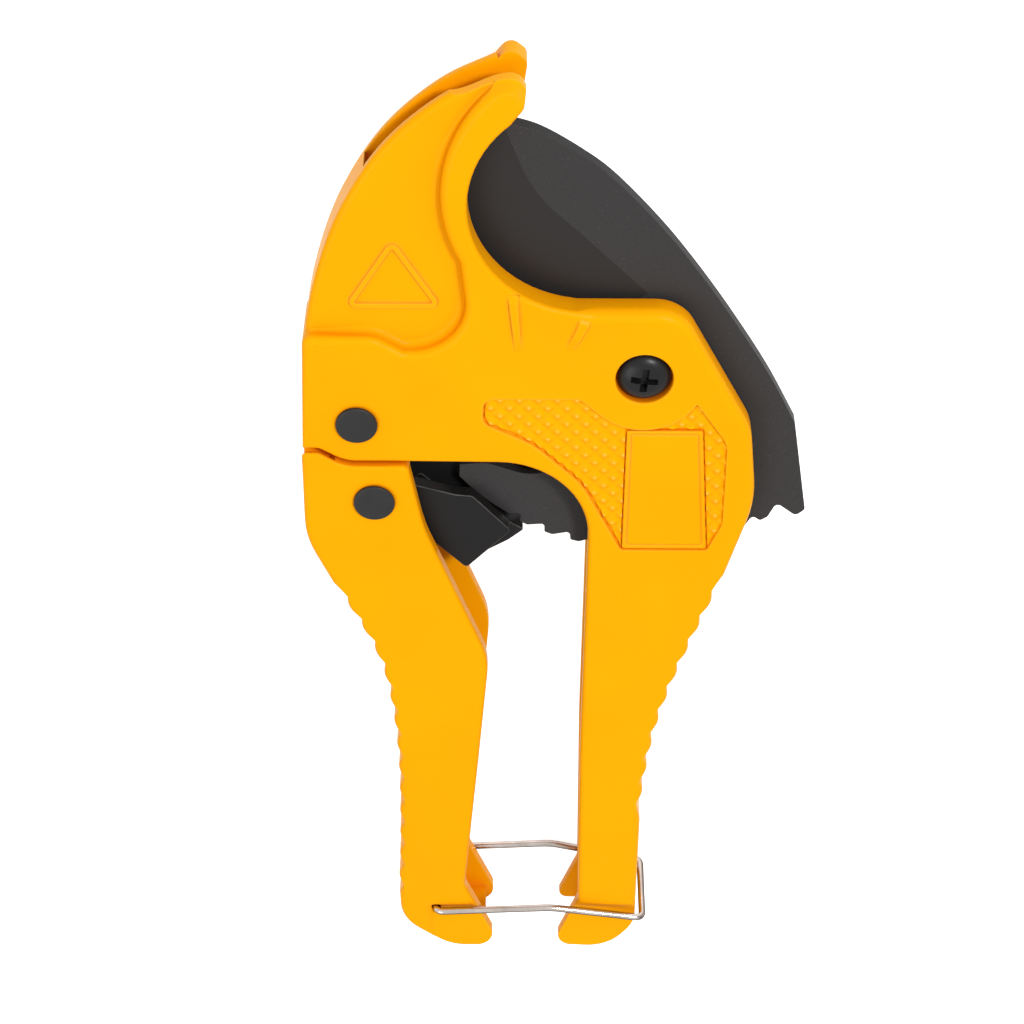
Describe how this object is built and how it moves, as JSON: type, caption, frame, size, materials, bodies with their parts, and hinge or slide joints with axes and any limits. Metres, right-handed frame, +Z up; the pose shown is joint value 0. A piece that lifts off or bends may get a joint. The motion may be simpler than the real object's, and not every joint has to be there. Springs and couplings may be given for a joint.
{
  "type": "pipe cutter",
  "caption": "Ratchet PVC pipe cutter with a yellow cast frame and hinged handle, a hooked pipe seat, a black toothed blade and a wire handle lock.",
  "frame": {"origin": "under the middle of the bounding box, on the plane the tool rests on", "axes": "+Z up out of the front face, +Y towards the hook, +X towards the blade's back"},
  "size_m": [0.0944, 0.2078, 0.0207],
  "materials": {
    "cast_paint": "semi-gloss yellow paint on die-cast metal",
    "black_steel": "satin black coated steel",
    "black_oxide": "black oxide steel",
    "spring_wire": "bright nickel-plated spring wire",
    "ground_steel": "ground plain steel"
  },
  "bodies": {
    "frame_body": {"frame": "cast_paint", "handle_rivet": "black_oxide", "blade_screw": "black_oxide", "blade_nut": "black_oxide", "blade_bush": "ground_steel", "blade_washer_front": "ground_steel", "blade_washer_back": "ground_steel", "handle_spring": "spring_wire"},
    "handle_body": {"moving_handle": "cast_paint", "pawl_rivet": "black_oxide"},
    "blade_body": {"blade": "black_steel"},
    "pawl_body": {"pawl": "black_steel", "pawl_spring": "spring_wire"},
    "wire_body": {"lock_wire": "spring_wire"}
  },
  "joints": [
    {"name": "handle_hinge", "type": "hinge", "parent": "frame_body", "child": "handle_body", "pos_m": [-0.03675, 0.03294, 0.01034], "axis": [0, 0, 1], "range_deg": [-21, 0], "deforming": ["handle_spring"]},
    {"name": "blade_hinge", "type": "hinge", "parent": "frame_body", "child": "blade_body", "pos_m": [0.01565, 0.04304, 0.01034], "axis": [0, 0, 1], "range_deg": [-62, 0]},
    {"name": "pawl_hinge", "type": "hinge", "parent": "handle_body", "child": "pawl_body", "pos_m": [-0.03395, 0.01594, 0.01034], "axis": [0, 0, 1], "range_deg": [0, 27.3], "deforming": ["pawl_spring"]},
    {"name": "wire_hinge", "type": "hinge", "parent": "handle_body", "child": "wire_body", "pos_m": [-0.02415, -0.09126, 0.01034], "axis": [0, 0, 1], "range_deg": [-210, 0]}
  ],
  "couplings": [
    {"joint": "pawl_hinge", "follows": "handle_hinge", "ratio": -1.3},
    {"joint": "wire_hinge", "follows": "handle_hinge", "ratio": 10}
  ]
}
